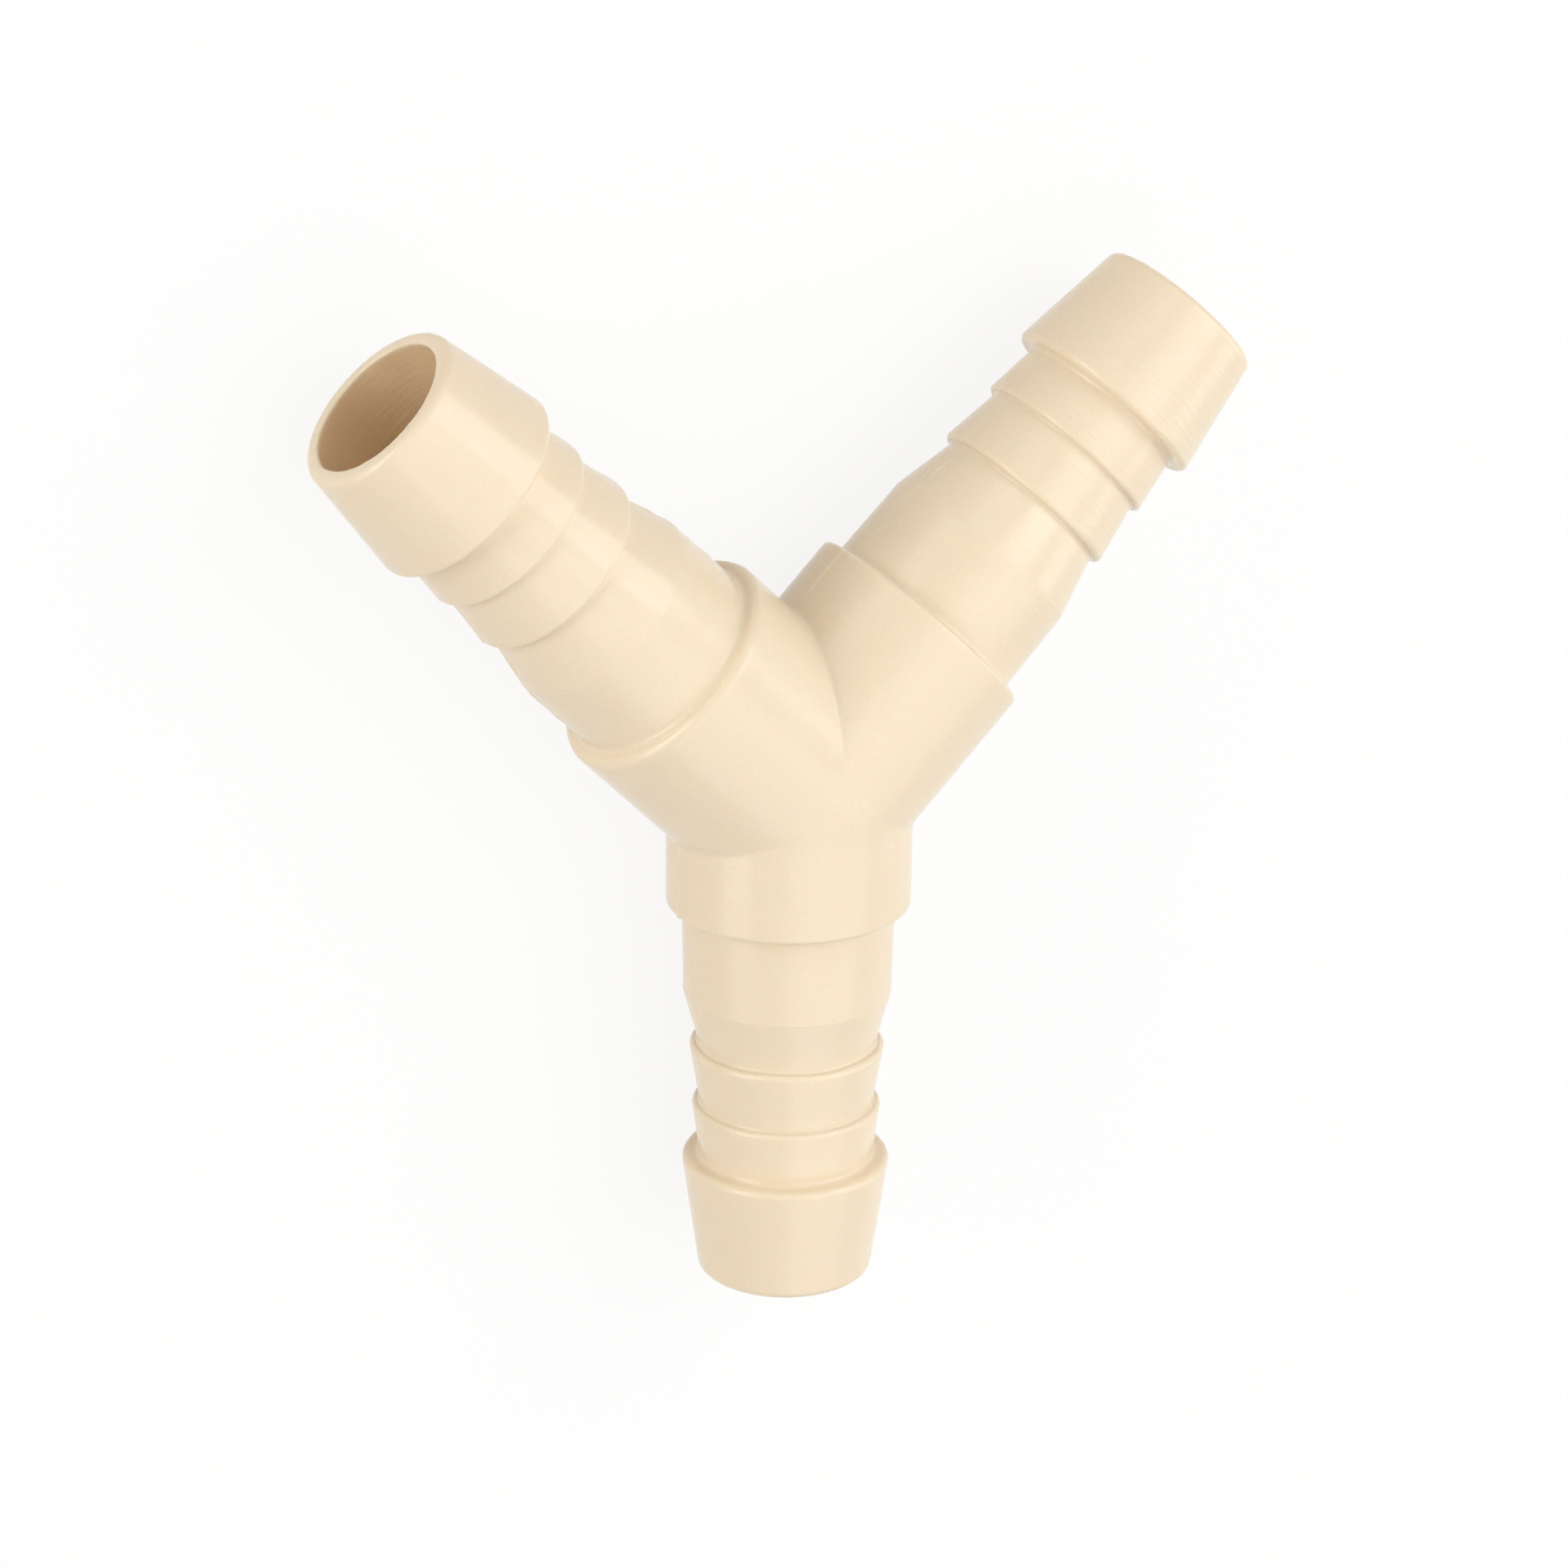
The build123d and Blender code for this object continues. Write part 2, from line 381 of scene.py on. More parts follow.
def turning_tree():
    """The tree that turns a row of rings into one spigot, cut and filleted at the junction."""
    tree, given, ids = new_tree("turned spigot", [
        ("Turn", "NodeSocketFloat"),
        ("Junction", "NodeSocketVector"),
        ("Segments", "NodeSocketInt"),
        ("Left crease", "NodeSocketFloat"),
        ("Right crease", "NodeSocketFloat"),
        ("Left round", "NodeSocketFloat"),
        ("Right round", "NodeSocketFloat"),
        ("Ball radius", "NodeSocketFloat"),
        ("Ball blend", "NodeSocketFloat"),
        ("Rim blend", "NodeSocketFloat"),
        ("Rim side", "NodeSocketVector"),
        ("Flash height", "NodeSocketFloat"),
        ("Flash width", "NodeSocketFloat"),
        ("Ridge height", "NodeSocketFloat"),
        ("Rim jag", "NodeSocketFloat"),
        ("Waver", "NodeSocketFloat"),
        ("Seed", "NodeSocketFloat"),
        ("Material", "NodeSocketMaterial"),
    ])
    inputs = given.outputs

    # A sheet of faces: one row for each ring and one column for each segment
    rings = add_node(tree, "GeometryNodeAttributeDomainSize", [inputs["Geometry"]])
    columns = add_node(tree, "FunctionNodeIntegerMath", [inputs["Segments"], 1], operation="ADD").outputs[0]
    sheet = add_node(tree, "GeometryNodeMeshGrid", {
        "Size X": 1.0,
        "Size Y": 1.0,
        "Vertices X": rings.outputs["Point Count"],
        "Vertices Y": columns,
    })
    index = add_node(tree, "GeometryNodeInputIndex").outputs[0]
    row = add_node(tree, "FunctionNodeIntegerMath", [index, columns], operation="DIVIDE_FLOOR").outputs[0]
    column = add_node(tree, "FunctionNodeIntegerMath", [index, columns], operation="MODULO").outputs[0]
    fact = {}
    for name in RING_FACTS:
        named = add_node(tree, "GeometryNodeInputNamedAttribute", {"Name": name}, data_type="FLOAT")
        fact[name] = add_node(tree, "GeometryNodeSampleIndex", {
            "Geometry": inputs["Geometry"], "Value": named.outputs[0], "Index": row,
        }, data_type="FLOAT", domain="POINT").outputs[0]

    # The angle round the axis, from the top, with the columns drawn to the parting line
    even = add_node(tree, "ShaderNodeMath", [column, inputs["Segments"]], operation="DIVIDE").outputs[0]
    even = add_node(tree, "ShaderNodeMath", [even, 2 * math.pi], operation="MULTIPLY").outputs[0]
    twice = add_node(tree, "ShaderNodeMath", [even, 2.0], operation="MULTIPLY").outputs[0]
    pull = add_node(tree, "ShaderNodeMath", [twice], operation="SINE").outputs[0]
    angle = add_node(tree, "ShaderNodeMath", [pull, PARTING_PULL, even], operation="MULTIPLY_ADD").outputs[0]
    side = add_node(tree, "ShaderNodeMath", [angle], operation="SINE").outputs[0]
    up = add_node(tree, "ShaderNodeMath", [angle], operation="COSINE").outputs[0]
    is_left = add_node(tree, "ShaderNodeMath", [side, 0.0], operation="GREATER_THAN").outputs[0]
    lean = add_node(tree, "ShaderNodeMix", {
        FACTOR: is_left, NUMBER_A: inputs["Right crease"], NUMBER_B: inputs["Left crease"],
    }).outputs[0]
    fillet = add_node(tree, "ShaderNodeMix", {
        FACTOR: is_left, NUMBER_A: inputs["Right round"], NUMBER_B: inputs["Left round"],
    }).outputs[0]
    fillet = add_node(tree, "ShaderNodeMath", [fillet, fact["outside"]], operation="MULTIPLY").outputs[0]

    # The barbs' edges stray a little, more in some places than in others
    where = add_node(tree, "ShaderNodeCombineXYZ", [fact["place"], side, up]).outputs[0]
    where = add_node(tree, "ShaderNodeVectorMath", [where, WAVER_NOISE], operation="MULTIPLY").outputs[0]
    stray = add_node(tree, "ShaderNodeTexNoise", {
        "Vector": where, "W": inputs["Seed"], "Scale": 1.0, "Detail": 2.0,
    }, noise_dimensions="4D").outputs[0]
    stray = add_node(tree, "ShaderNodeMath", [stray, NOISE_MIDDLE], operation="SUBTRACT").outputs[0]
    stray = add_node(tree, "ShaderNodeMath", [stray, fact["waver"]], operation="MULTIPLY").outputs[0]
    stray = add_node(tree, "ShaderNodeMath", [stray, inputs["Waver"]], operation="MULTIPLY").outputs[0]
    place = add_node(tree, "ShaderNodeMath", [
        stray, WAVER_GAIN, fact["place"],
    ], operation="MULTIPLY_ADD").outputs[0]

    # A fine ridge stands where the cone ends, and the mouth's inner edge is not quite a circle
    patch = add_node(tree, "ShaderNodeCombineXYZ", [side, up, 0.0]).outputs[0]
    faint = add_node(tree, "ShaderNodeTexNoise", {
        "Vector": patch, "W": inputs["Seed"], "Scale": RIDGE_NOISE, "Detail": 1.0,
    }, noise_dimensions="4D").outputs[0]
    faint = add_node(tree, "ShaderNodeMapRange", {
        "Value": faint, "From Min": RIDGE_PATCH[0], "From Max": RIDGE_PATCH[1],
    }).outputs[0]
    faint = add_node(tree, "ShaderNodeMath", [faint, fact["ridge"]], operation="MULTIPLY").outputs[0]
    radius = add_node(tree, "ShaderNodeMath", [
        faint, inputs["Ridge height"], fact["radius"],
    ], operation="MULTIPLY_ADD").outputs[0]
    jag = add_node(tree, "ShaderNodeTexNoise", {
        "Vector": patch, "W": inputs["Seed"], "Scale": JAG_NOISE, "Detail": 3.0,
    }, noise_dimensions="4D").outputs[0]
    jag = add_node(tree, "ShaderNodeMath", [jag, NOISE_MIDDLE], operation="SUBTRACT").outputs[0]
    jag = add_node(tree, "ShaderNodeMath", [jag, JAG_GAIN], operation="MULTIPLY").outputs[0]
    jag = add_node(tree, "ShaderNodeMath", [jag, fact["jag"]], operation="MULTIPLY").outputs[0]
    radius = add_node(tree, "ShaderNodeMath", [
        jag, inputs["Rim jag"], radius,
    ], operation="MULTIPLY_ADD").outputs[0]

    # Where a ball rolled along the crease touches the spigot, and where its centre lies
    reach = add_node(tree, "ShaderNodeMath", [radius, fillet], operation="ADD").outputs[0]
    width = add_node(tree, "ShaderNodeMath", [side], operation="ABSOLUTE").outputs[0]
    slope = add_node(tree, "ShaderNodeMath", [lean], operation="TANGENT").outputs[0]
    crease = add_node(tree, "ShaderNodeMath", [reach, width], operation="MULTIPLY").outputs[0]
    crease = add_node(tree, "ShaderNodeMath", [crease, slope], operation="DIVIDE").outputs[0]
    along = add_node(tree, "ShaderNodeMix", {
        FACTOR: fact["share"], NUMBER_A: crease, NUMBER_B: place,
    }).outputs[0]
    outward = add_node(tree, "ShaderNodeCombineXYZ", [0.0, side, up]).outputs[0]
    centre = add_node(tree, "ShaderNodeVectorMath", {
        0: outward, "Scale": reach,
    }, operation="SCALE").outputs[0]
    start = add_node(tree, "ShaderNodeCombineXYZ", [along, 0.0, 0.0]).outputs[0]
    centre = add_node(tree, "ShaderNodeVectorMath", [centre, start], operation="ADD").outputs[0]

    # Half way round the fillet the skin faces along the plane between the two spigots
    sine = add_node(tree, "ShaderNodeMath", [lean], operation="SINE").outputs[0]
    cosine = add_node(tree, "ShaderNodeMath", [lean], operation="COSINE").outputs[0]
    away = add_node(tree, "ShaderNodeMath", [width, sine], operation="MULTIPLY").outputs[0]
    away_along = add_node(tree, "ShaderNodeMath", [away, cosine], operation="MULTIPLY").outputs[0]
    away_side = add_node(tree, "ShaderNodeMath", [side, sine], operation="MULTIPLY").outputs[0]
    away_side = add_node(tree, "ShaderNodeMath", [away_side, sine], operation="MULTIPLY").outputs[0]
    halfway = add_node(tree, "ShaderNodeCombineXYZ", [away_along, away_side, up]).outputs[0]
    halfway = add_node(tree, "ShaderNodeVectorMath", [halfway], operation="NORMALIZE").outputs[0]
    facing = add_node(tree, "ShaderNodeMix", {
        FACTOR: fact["bend"], VECTOR_A: outward, VECTOR_B: halfway,
    }, data_type="VECTOR").outputs[1]
    facing = add_node(tree, "ShaderNodeVectorMath", [facing], operation="NORMALIZE").outputs[0]
    inward = add_node(tree, "ShaderNodeVectorMath", {
        0: facing, "Scale": fillet,
    }, operation="SCALE").outputs[0]
    spot = add_node(tree, "ShaderNodeVectorMath", [centre, inward], operation="SUBTRACT").outputs[0]

    # The ball at the junction swells the middle
    far = add_node(tree, "ShaderNodeVectorMath", [spot], operation="LENGTH").outputs["Value"]
    level = add_node(tree, "ShaderNodeVectorMath", [spot, (1.0, 1.0, 0.0)], operation="MULTIPLY").outputs[0]
    level = add_node(tree, "ShaderNodeVectorMath", [level], operation="NORMALIZE").outputs[0]
    toward = add_node(tree, "ShaderNodeVectorMath", [
        level, inputs["Rim side"],
    ], operation="DOT_PRODUCT").outputs["Value"]
    blend = add_node(tree, "ShaderNodeMapRange", {
        "Value": toward, "From Min": 0.0, "From Max": RIM_TURN,
        "To Min": inputs["Ball blend"], "To Max": inputs["Rim blend"],
    }, interpolation_type="SMOOTHSTEP").outputs[0]
    swollen = add_node(tree, "ShaderNodeMath", [
        far, inputs["Ball radius"], blend,
    ], operation="SMOOTH_MAX").outputs[0]
    swell = add_node(tree, "ShaderNodeMath", [swollen, far], operation="DIVIDE").outputs[0]
    swell = add_node(tree, "ShaderNodeMix", {
        FACTOR: fact["outside"], NUMBER_A: 1.0, NUMBER_B: swell,
    }).outputs[0]
    spot = add_node(tree, "ShaderNodeVectorMath", {0: spot, "Scale": swell}, operation="SCALE").outputs[0]

    # The line of flash at the parting plane stands up here and there
    height = add_node(tree, "ShaderNodeSeparateXYZ", [spot]).outputs[2]
    off = add_node(tree, "ShaderNodeMath", [height, inputs["Flash width"]], operation="DIVIDE").outputs[0]
    off = add_node(tree, "ShaderNodeMath", [off, off], operation="MULTIPLY").outputs[0]
    off = add_node(tree, "ShaderNodeMath", [off, -1.0], operation="MULTIPLY").outputs[0]
    near = add_node(tree, "ShaderNodeMath", [off], operation="EXPONENT").outputs[0]
    where = add_node(tree, "ShaderNodeCombineXYZ", [fact["place"], side, 0.0]).outputs[0]
    where = add_node(tree, "ShaderNodeVectorMath", [where, FLASH_NOISE], operation="MULTIPLY").outputs[0]
    uneven = add_node(tree, "ShaderNodeTexNoise", {
        "Vector": where, "W": inputs["Seed"], "Scale": 1.0, "Detail": 2.0,
    }, noise_dimensions="4D").outputs[0]
    uneven = add_node(tree, "ShaderNodeMapRange", {
        "Value": uneven, "From Min": FLASH_PATCH[0], "From Max": FLASH_PATCH[1],
    }).outputs[0]
    flash = add_node(tree, "ShaderNodeMath", [near, uneven], operation="MULTIPLY").outputs[0]
    flash = add_node(tree, "ShaderNodeMath", [flash, inputs["Flash height"]], operation="MULTIPLY").outputs[0]
    flash = add_node(tree, "ShaderNodeMath", [flash, fact["flash"]], operation="MULTIPLY").outputs[0]
    flash = add_node(tree, "ShaderNodeVectorMath", {0: outward, "Scale": flash}, operation="SCALE").outputs[0]
    spot = add_node(tree, "ShaderNodeVectorMath", [spot, flash], operation="ADD").outputs[0]

    # The sheet takes that form, keeps its own coordinates for the finish, and is turned into place
    form = add_node(tree, "GeometryNodeSetPosition", {
        "Geometry": sheet.outputs["Mesh"], "Position": spot,
    }).outputs[0]
    own = add_node(tree, "GeometryNodeInputPosition").outputs[0]
    form = add_node(tree, "GeometryNodeStoreNamedAttribute", {
        "Geometry": form, "Name": "turned", "Value": own,
    }, data_type="FLOAT_VECTOR", domain="CORNER").outputs[0]
    form = add_node(tree, "GeometryNodeStoreNamedAttribute", {
        "Geometry": form, "Name": "outside", "Value": fact["outside"],
    }, data_type="FLOAT", domain="POINT").outputs[0]
    turn = add_node(tree, "ShaderNodeCombineXYZ", [0.0, 0.0, inputs["Turn"]]).outputs[0]
    form = add_node(tree, "GeometryNodeTransform", {
        "Geometry": form, "Translation": inputs["Junction"], "Rotation": turn,
    }).outputs[0]
    form = add_node(tree, "GeometryNodeSetShadeSmooth", {"Geometry": form}).outputs[0]
    form = add_node(tree, "GeometryNodeRealizeInstances", [form]).outputs[0]
    form = add_node(tree, "GeometryNodeSetMaterial", {
        "Geometry": form, "Material": inputs["Material"],
    }).outputs[0]
    add_node(tree, "NodeGroupOutput", [form])
    return tree, ids


def evaluated_mesh(piece):
    """The plain mesh that an object's modifiers make."""
    bpy.context.view_layer.update()
    depsgraph = bpy.context.evaluated_depsgraph_get()
    return bpy.data.meshes.new_from_object(piece.evaluated_get(depsgraph))


def turned_spigot(tree, ids, name, material):
    """The mesh of one spigot in its place."""
    sizes = bpy.context.scene.fitting_sizes
    at = SPIGOTS.index(name)
    turns = {spigot: math.atan2(axis_of(spigot).y, axis_of(spigot).x) for spigot in SPIGOTS}
    ahead, behind = SPIGOTS[(at + 1) % len(SPIGOTS)], SPIGOTS[at - 1]
    gap_ahead = (turns[ahead] - turns[name]) % (2 * math.pi)
    gap_behind = (turns[name] - turns[behind]) % (2 * math.pi)
    rounds = {True: sizes.crotch_round, False: sizes.flank_round}
    piece = bpy.data.objects.new(name, ring_mesh(name, half_section(sizes, name)))
    bpy.context.scene.collection.objects.link(piece)
    modifier = piece.modifiers.new("turned", "NODES")
    modifier.node_group = tree
    values = {
        "Turn": turns[name],
        "Junction": JUNCTION,
        "Segments": sizes.segments,
        "Left crease": gap_ahead / 2,
        "Right crease": gap_behind / 2,
        "Left round": rounds["stem" not in (name, ahead)],
        "Right round": rounds["stem" not in (name, behind)],
        "Ball radius": BALL_RADIUS,
        "Ball blend": sizes.ball_blend,
        "Rim blend": sizes.rim_blend,
        "Rim side": Matrix.Rotation(-turns[name], 3, "Z") @ axis_of("right_arm"),
        "Flash height": sizes.flash_height,
        "Flash width": sizes.flash_width,
        "Ridge height": sizes.ridge_height,
        "Rim jag": sizes.rim_jag,
        "Waver": sizes.waver,
        "Seed": float(at),
        "Material": material,
    }
    for label, value in values.items():
        modifier[ids[label]] = value
    mesh = evaluated_mesh(piece)
    bpy.data.objects.remove(piece)
    return mesh


WELD = 0.0005 * MM         # points nearer than this are one


def welded(meshes, name):
    """One closed mesh out of the spigots, which meet edge to edge at the creases."""
    whole = bmesh.new()
    for mesh in meshes:
        whole.from_mesh(mesh)
    bmesh.ops.remove_doubles(whole, verts=whole.verts, dist=WELD)
    bmesh.ops.dissolve_degenerate(whole, edges=whole.edges, dist=WELD)
    if whole.calc_volume(signed=True) < 0:
        bmesh.ops.reverse_faces(whole, faces=whole.faces)
    open_edges = [edge for edge in whole.edges if len(edge.link_faces) != 2]
    if open_edges:
        raise RuntimeError(f"{name} has {len(open_edges)} open edges")
    mesh = bpy.data.meshes.new(name)
    whole.to_mesh(mesh)
    whole.free()
    return mesh


# Each pattern's size along the axis and across it, and its detail. The rings, the streaks and
# the grain are too fine to show, so they are drawn coarser than the sizes in their comments.
PATTERNS = {
    "marks": (0.45 * MM, 5.0 * MM, 3.0),      # rings that the mould's turning left, about 0.1 mm apart
    "drag": (9.0 * MM, 0.35 * MM, 2.0),       # streaks along a spigot, about 0.05 mm wide
    "dents": (3.5 * MM, 3.5 * MM, 1.0),       # where the wall has shrunk
    "mottle": (6.0 * MM, 6.0 * MM, 2.0),      # where the skin is glossier or duller
    "grain": (0.2 * MM, 0.2 * MM, 1.0),       # pigment, about 0.02 mm across
}
MARK_PATCH = (0.35, 0.65)  # the mottle at which the rings are faintest, and at which they are full
MARK_FAINTEST = 0.1
SCORE_OFFSET = Vector((1.8, 16.0, 6.9)) * MM     # from the junction to the middle of the scores
SCORE_REACH = 2.6 * MM     # the scores end this far from their middle
SCORE_CORE = 0.4 * SCORE_REACH                   # and are full this near to it
SCORE_DEPTH = 3.0          # how many times as deep as the rings they are
STEM_START = 4 * MM        # the rings grow faint from here down the stem
STEM_FAINT = 12 * MM       # to here
STEM_MARKS = 0.25          # the share of them that is left
DULL_PATCH = (0.3, 0.7)    # the mottle at which the skin is glossiest, and at which it is dullest
GLOSSIER = 0.02            # roughness below the finish's own where the skin is glossiest
DULLER = 0.04              # roughness above it where the skin is dullest
GRAIN_PATCH = (0.2, 0.8)   # the grain at which the colour is darkest, and at which it is lightest
GRAIN_SHADES = (0.97, 1.03)
POLYPROPYLENE_IOR = 1.49
SINK_SHARE = 0.35          # how much of the light sinks in
SINK_REACH = (1.0, 0.6, 0.35)      # red light goes furthest
SINK_DEPTH = 1.2 * MM


def cream_polypropylene():
    """Injection-moulded polypropylene: waxy cream with a satin skin, in which light sinks in a little.

    The mould was turned on a lathe, so a highlight breaks up into fine rings round each
    spigot. The walls have shrunk a little unevenly, which makes its edges waver.
    """
    finish = bpy.context.scene.fitting_finish
    material = bpy.data.materials.new("cream_polypropylene")
    material.use_nodes = True
    tree = material.node_tree
    tree.nodes.clear()
    turned = add_node(tree, "ShaderNodeAttribute", attribute_name="turned").outputs["Vector"]
    outside = add_node(tree, "ShaderNodeAttribute", attribute_name="outside").outputs["Fac"]

    patterns = {}
    for name, (along, across, detail) in PATTERNS.items():
        pitch = (1 / along, 1 / across, 1 / across)
        spot = add_node(tree, "ShaderNodeVectorMath", [turned, pitch], operation="MULTIPLY").outputs[0]
        noise = add_node(tree, "ShaderNodeTexNoise", {"Vector": spot, "Scale": 1.0, "Detail": detail})
        patterns[name] = noise.outputs[0]

    # The rings show in patches
    patch = add_node(tree, "ShaderNodeMapRange", {
        "Value": patterns["mottle"], "From Min": MARK_PATCH[0], "From Max": MARK_PATCH[1],
        "To Min": MARK_FAINTEST, "To Max": 1.0,
    }, interpolation_type="SMOOTHSTEP").outputs[0]
    marks = add_node(tree, "ShaderNodeMath", [
        patterns["marks"], NOISE_MIDDLE,
    ], operation="SUBTRACT").outputs[0]
    marks = add_node(tree, "ShaderNodeMath", [marks, patch], operation="MULTIPLY").outputs[0]

    # A small patch of deeper scores, low in the crotch of the two arms
    here = add_node(tree, "ShaderNodeTexCoord").outputs["Object"]
    off = add_node(tree, "ShaderNodeVectorMath", [
        here, JUNCTION + SCORE_OFFSET,
    ], operation="DISTANCE").outputs["Value"]
    scored = add_node(tree, "ShaderNodeMapRange", {
        "Value": off, "From Min": SCORE_CORE, "From Max": SCORE_REACH,
        "To Min": SCORE_DEPTH, "To Max": 1.0,
    }, interpolation_type="SMOOTHSTEP").outputs[0]
    marks = add_node(tree, "ShaderNodeMath", [marks, scored], operation="MULTIPLY").outputs[0]

    # The stem's part of the mould was drawn smooth along its length, so its rings are faint
    down = add_node(tree, "ShaderNodeSeparateXYZ", [here]).outputs["Y"]
    on_stem = add_node(tree, "ShaderNodeMapRange", {
        "Value": down, "From Min": JUNCTION.y - STEM_FAINT, "From Max": JUNCTION.y - STEM_START,
        "To Min": STEM_MARKS, "To Max": 1.0,
    }, interpolation_type="SMOOTHSTEP").outputs[0]
    marks = add_node(tree, "ShaderNodeMath", [marks, on_stem], operation="MULTIPLY").outputs[0]

    bump = add_node(tree, "ShaderNodeBump", {
        "Height": marks, "Distance": finish.mark_depth, "Strength": 1.0,
    }).outputs[0]
    for name, depth in (("drag", finish.drag_depth), ("dents", finish.dent_depth)):
        bump = add_node(tree, "ShaderNodeBump", {
            "Height": patterns[name], "Distance": depth, "Strength": 1.0, "Normal": bump,
        }).outputs[0]

    roughness = add_node(tree, "ShaderNodeMapRange", {
        "Value": patterns["mottle"], "From Min": DULL_PATCH[0], "From Max": DULL_PATCH[1],
        "To Min": finish.roughness - GLOSSIER, "To Max": finish.roughness + DULLER,
    }).outputs[0]
    # In the bores the colour turns to the darker, warmer one: painted shade of the deep bores.
    colour = add_node(tree, "ShaderNodeMix", {
        FACTOR: outside, COLOUR_A: tuple(finish.bore_painted_shade), COLOUR_B: tuple(finish.colour),
    }, data_type="RGBA").outputs[2]
    shade = add_node(tree, "ShaderNodeMapRange", {
        "Value": patterns["grain"], "From Min": GRAIN_PATCH[0], "From Max": GRAIN_PATCH[1],
        "To Min": GRAIN_SHADES[0], "To Max": GRAIN_SHADES[1],
    }).outputs[0]
    colour = add_node(tree, "ShaderNodeVectorMath", {0: colour, "Scale": shade}, operation="SCALE").outputs[0]
    skin = add_node(tree, "ShaderNodeBsdfPrincipled", {
        "Base Color": colour, "Roughness": roughness, "IOR": POLYPROPYLENE_IOR, "Normal": bump,
        "Subsurface Weight": SINK_SHARE, "Subsurface Radius": SINK_REACH, "Subsurface Scale": SINK_DEPTH,
    }).outputs[0]
    add_node(tree, "ShaderNodeOutputMaterial", [skin])
    return material


class FITTING_OT_mould_body(bpy.types.Operator):
    """Turn the three spigots, weld them at the junction and give the body its finish"""

    bl_idname = "fitting.mould_body"
    bl_label = "Mould the body"

    def execute(self, context):
        material = cream_polypropylene()
        tree, ids = turning_tree()
        spigots = [turned_spigot(tree, ids, name, material) for name in SPIGOTS]
        mesh = welded(spigots, "connector")
        mesh.materials.clear()
        mesh.materials.append(material)
        body = bpy.data.objects.new("connector", mesh)
        context.scene.collection.objects.link(body)
        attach(body, "root")
        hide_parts(NODE)
        return {"FINISHED"}


# The lamps: where each hangs, seen from the junction, how wide and high it is, and its power
LAMPS = (
    # name, azimuth, elevation, distance, width, height, watts
    ("key_softbox", 36.0, 42.0, 0.8, 0.50, 0.50, 2.0),
    ("top_softbox", 60.0, 70.0, 0.8, 0.50, 0.50, 0.8),
    ("low_left", 188.0, 14.0, 0.8, 0.50, 0.40, 1.2),
    ("left_back", 163.0, 14.0, 0.8, 0.40, 0.40, 1.6),
    ("low_back", 135.0, 14.0, 0.8, 0.50, 0.40, 0.6),
    ("back_strip", 85.0, 24.0, 0.8, 0.40, 0.40, 0.5),
    ("left_fill", 240.0, 42.0, 0.8, 0.90, 0.90, 0.4),
    ("right_fill", 355.0, 50.0, 0.8, 0.50, 0.50, 0.3),
    ("low_right", 355.0, 22.0, 0.8, 0.40, 0.40, 0.8),
    ("stem_fill", 292.0, 60.0, 0.8, 0.95, 0.95, 2.55),
)
FLOOR_HALF = 3.0           # metres from the middle of the floor to its edge
WHITE = linear("FFFFFF")
STUDIO_WHITE = linear("FFF2DE")    # what the room gives back, a little warm
BOARD = linear("C6C0B6")           # what the floor gives back to the object

# The camera: where it stands and where it looks, both from the junction
EYE = Vector((-192.405, 158.853, 379.717)) * MM
AIM = Vector((-0.614, -0.624, -0.048)) * MM
ROLL = math.radians(-0.67)
LENS = 105.996
SENSOR = 36.0


class StageLight(bpy.types.PropertyGroup):
    """How the stage is lit."""

    ambient: FloatProperty(
        name="Ambient", description="Light that comes evenly from all round",
        default=0.22, min=0.0, subtype="FACTOR",
    )
    shadow: FloatProperty(
        name="Shadow", description="How much of the object's shadow the floor shows",
        default=0.13, min=0.0, max=1.0, subtype="FACTOR",
    )


def direction(azimuth, elevation):
    """The direction at an azimuth, counterclockwise from +X, and an elevation."""
    level = math.cos(math.radians(elevation))
    return Vector((
        level * math.cos(math.radians(azimuth)),
        level * math.sin(math.radians(azimuth)),
        math.sin(math.radians(elevation)),
    ))


def seen_share(tree):
    """1 for what the camera sees, straight, in gloss or through glass, and otherwise 0."""
    path = add_node(tree, "ShaderNodeLightPath").outputs
    seen = path["Is Camera Ray"]
    for way in ("Is Glossy Ray", "Is Transmission Ray"):
        seen = add_node(tree, "ShaderNodeMath", [seen, path[way]], operation="MAXIMUM").outputs[0]
    return seen


def white_studio(light):
    """A world that lights the object softly and shows pure white behind it."""
    world = bpy.data.worlds.new("white_studio")
    world.use_nodes = True
    tree = world.node_tree
    tree.nodes.clear()
    lit = add_node(tree, "ShaderNodeBackground", {
        "Color": STUDIO_WHITE, "Strength": light.ambient,
    }).outputs[0]
    shown = add_node(tree, "ShaderNodeBackground", {"Color": WHITE, "Strength": 1.0}).outputs[0]
    mixed = add_node(tree, "ShaderNodeMixShader", [seen_share(tree), lit, shown]).outputs[0]
    add_node(tree, "ShaderNodeOutputWorld", [mixed])
    return world


def white_sweep(light):
    """Matt white board: white to the eye, with the object's shadow in a light grey."""
    material = bpy.data.materials.new("matt_white_board")
    material.use_nodes = True
    tree = material.node_tree
    tree.nodes.clear()
    board = add_node(tree, "ShaderNodeBsdfDiffuse", {"Color": BOARD}).outputs[0]
    shade = light.shadow
    glow = add_node(tree, "ShaderNodeEmission", {"Color": WHITE, "Strength": 1 - shade}).outputs[0]
    faint = add_node(tree, "ShaderNodeBsdfDiffuse", {"Color": (shade, shade, shade, 1.0)}).outputs[0]
    shown = add_node(tree, "ShaderNodeAddShader", [glow, faint]).outputs[0]
    mixed = add_node(tree, "ShaderNodeMixShader", [seen_share(tree), board, shown]).outputs[0]
    add_node(tree, "ShaderNodeOutputMaterial", [mixed])
    return material


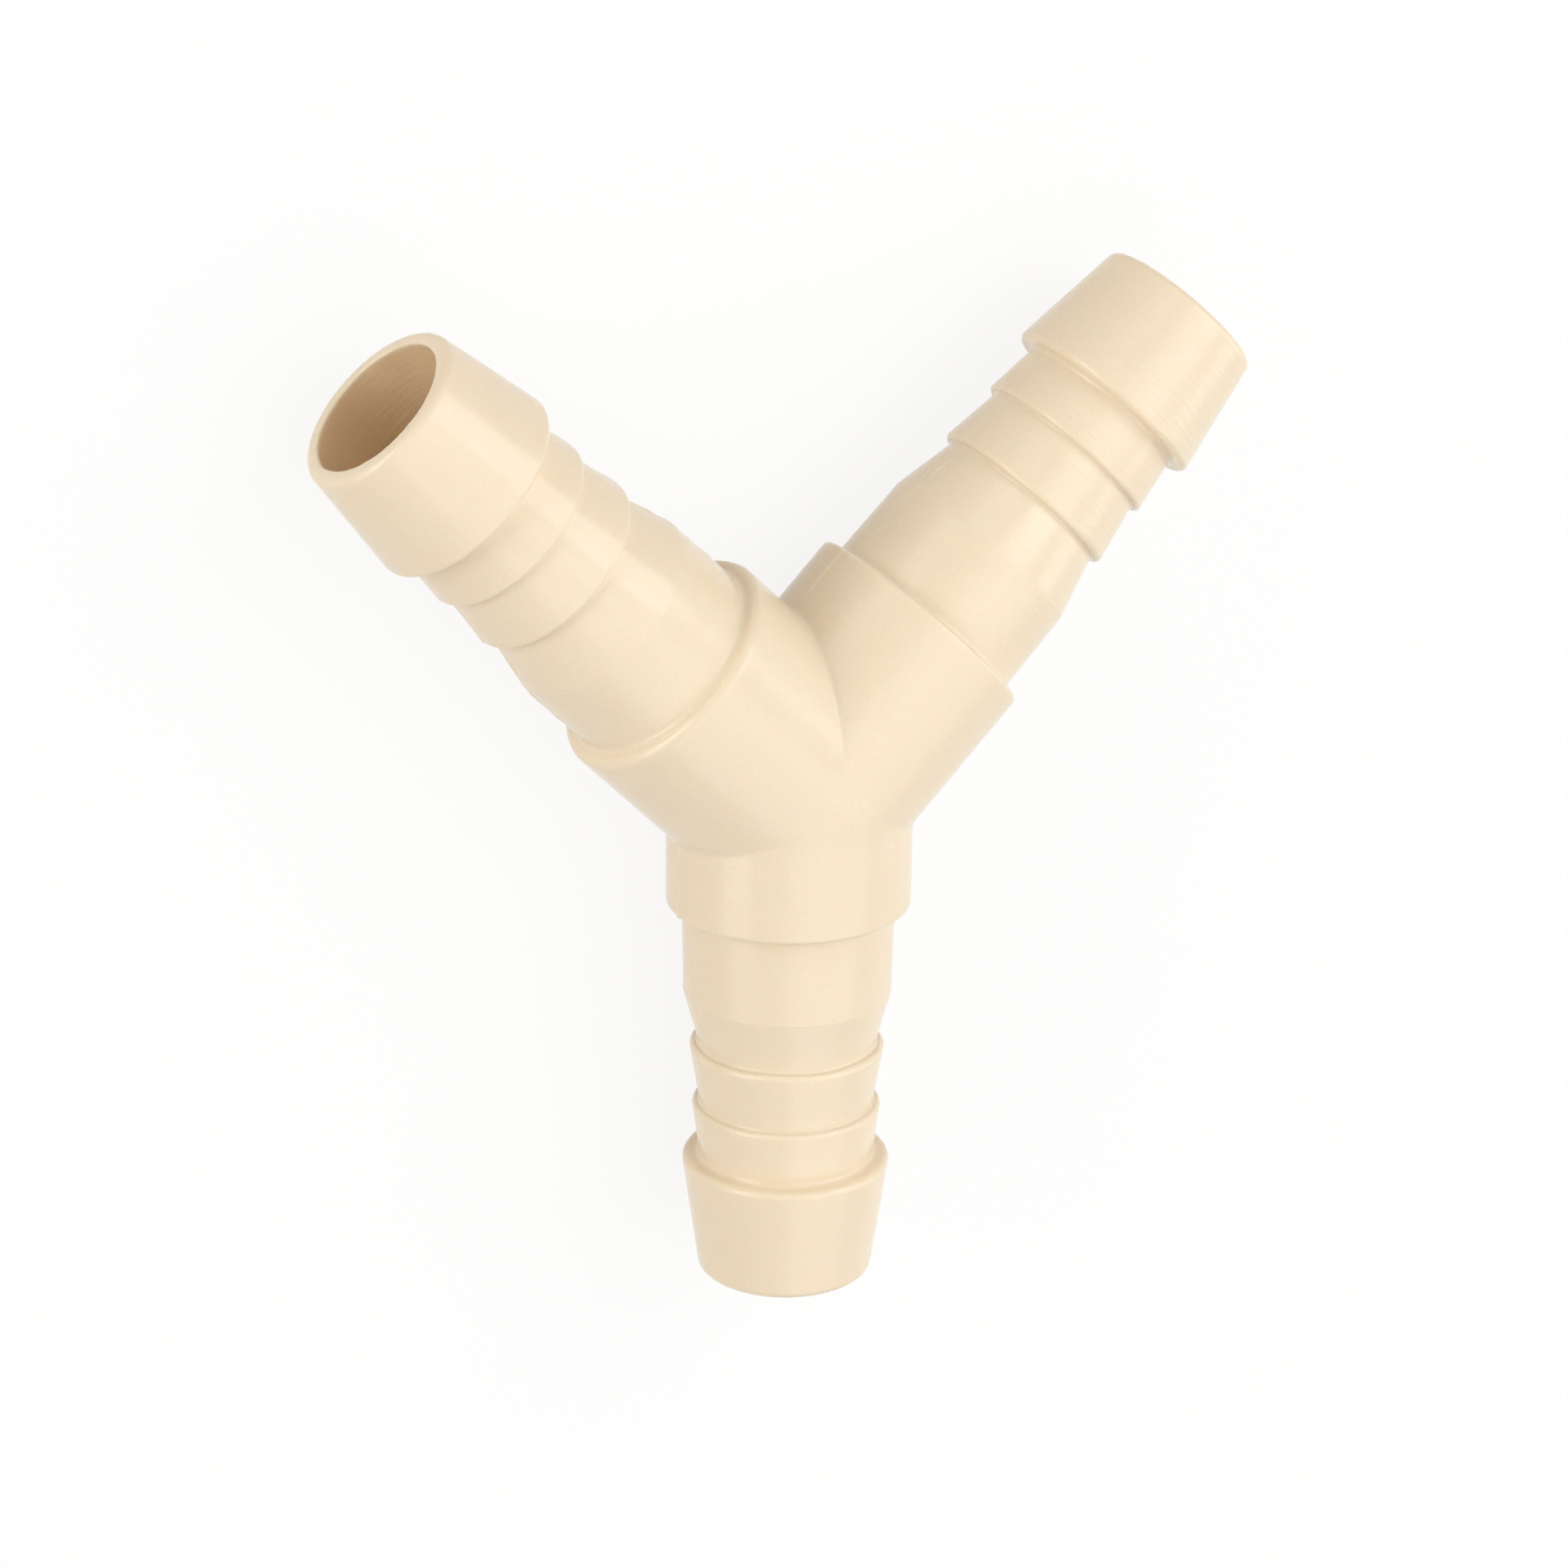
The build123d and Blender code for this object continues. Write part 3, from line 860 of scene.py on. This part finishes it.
class FITTING_OT_set_stage(bpy.types.Operator):
    """Lay the floor, hang the lamps and aim the camera"""

    bl_idname = "fitting.set_stage"
    bl_label = "Set the stage"

    def execute(self, context):
        scene = context.scene
        light = scene.stage_light
        scene.view_settings.view_transform = "Standard"
        scene.world = white_studio(light)

        half = FLOOR_HALF
        sheet = bpy.data.meshes.new("floor")
        corners = [(-half, -half, 0), (half, -half, 0), (half, half, 0), (-half, half, 0)]
        sheet.from_pydata(corners, [], [(0, 1, 2, 3)])
        sheet.materials.append(white_sweep(light))
        floor = bpy.data.objects.new("floor", sheet)
        scene.collection.objects.link(floor)

        for name, azimuth, elevation, distance, width, height, watts in LAMPS:
            lamp = bpy.data.lights.new(name, "AREA")
            lamp.shape = "RECTANGLE"
            lamp.size = width
            lamp.size_y = height
            lamp.energy = watts
            away = direction(azimuth, elevation)
            hung = bpy.data.objects.new(name, lamp)
            hung.location = JUNCTION + away * distance
            hung.rotation_euler = away.to_track_quat("Z", "Y").to_euler()
            scene.collection.objects.link(hung)

        camera = bpy.data.cameras.new("camera")
        camera.sensor_width = SENSOR
        camera.lens = LENS
        eye = bpy.data.objects.new("camera", camera)
        place = JUNCTION + EYE
        back = (EYE - AIM).normalized()
        level_right = Vector((0, 1, 0)).cross(back).normalized()
        level_up = back.cross(level_right)
        upward = level_up * math.cos(ROLL) + level_right * math.sin(ROLL)
        rightward = upward.cross(back)
        eye.matrix_world = Matrix((
            (rightward.x, upward.x, back.x, place.x),
            (rightward.y, upward.y, back.y, place.y),
            (rightward.z, upward.z, back.z, place.z),
            (0, 0, 0, 1),
        ))
        scene.collection.objects.link(eye)
        scene.camera = eye
        return {"FINISHED"}


class FITTING_PT_panel(bpy.types.Panel):
    """The fitting's tools, in the order that they are used"""

    bl_idname = "FITTING_PT_panel"
    bl_label = "Tubing Y Connector"
    bl_space_type = "VIEW_3D"
    bl_region_type = "UI"
    bl_category = "Fitting"

    def draw(self, context):
        column = self.layout.column()
        for operator in OPERATORS:
            column.operator(operator.bl_idname)
        scene = context.scene
        for group in (scene.fitting_sizes, scene.fitting_finish, scene.stage_light):
            for name in group.__annotations__:
                column.prop(group, name)


OPERATORS = (FITTING_OT_mould_body, FITTING_OT_set_stage)
CLASSES = (FittingSizes, FittingFinish, StageLight) + OPERATORS + (FITTING_PT_panel,)


def register():
    for kind in CLASSES:
        bpy.utils.register_class(kind)
    bpy.types.Scene.fitting_sizes = PointerProperty(type=FittingSizes)
    bpy.types.Scene.fitting_finish = PointerProperty(type=FittingFinish)
    bpy.types.Scene.stage_light = PointerProperty(type=StageLight)


def unregister():
    del bpy.types.Scene.stage_light
    del bpy.types.Scene.fitting_finish
    del bpy.types.Scene.fitting_sizes
    for kind in reversed(CLASSES):
        bpy.utils.unregister_class(kind)


def main():
    """Builds the body and the stage."""
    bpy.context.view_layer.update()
    register()
    bpy.ops.fitting.mould_body()
    bpy.ops.fitting.set_stage()


if __name__ == "__main__":
    main()
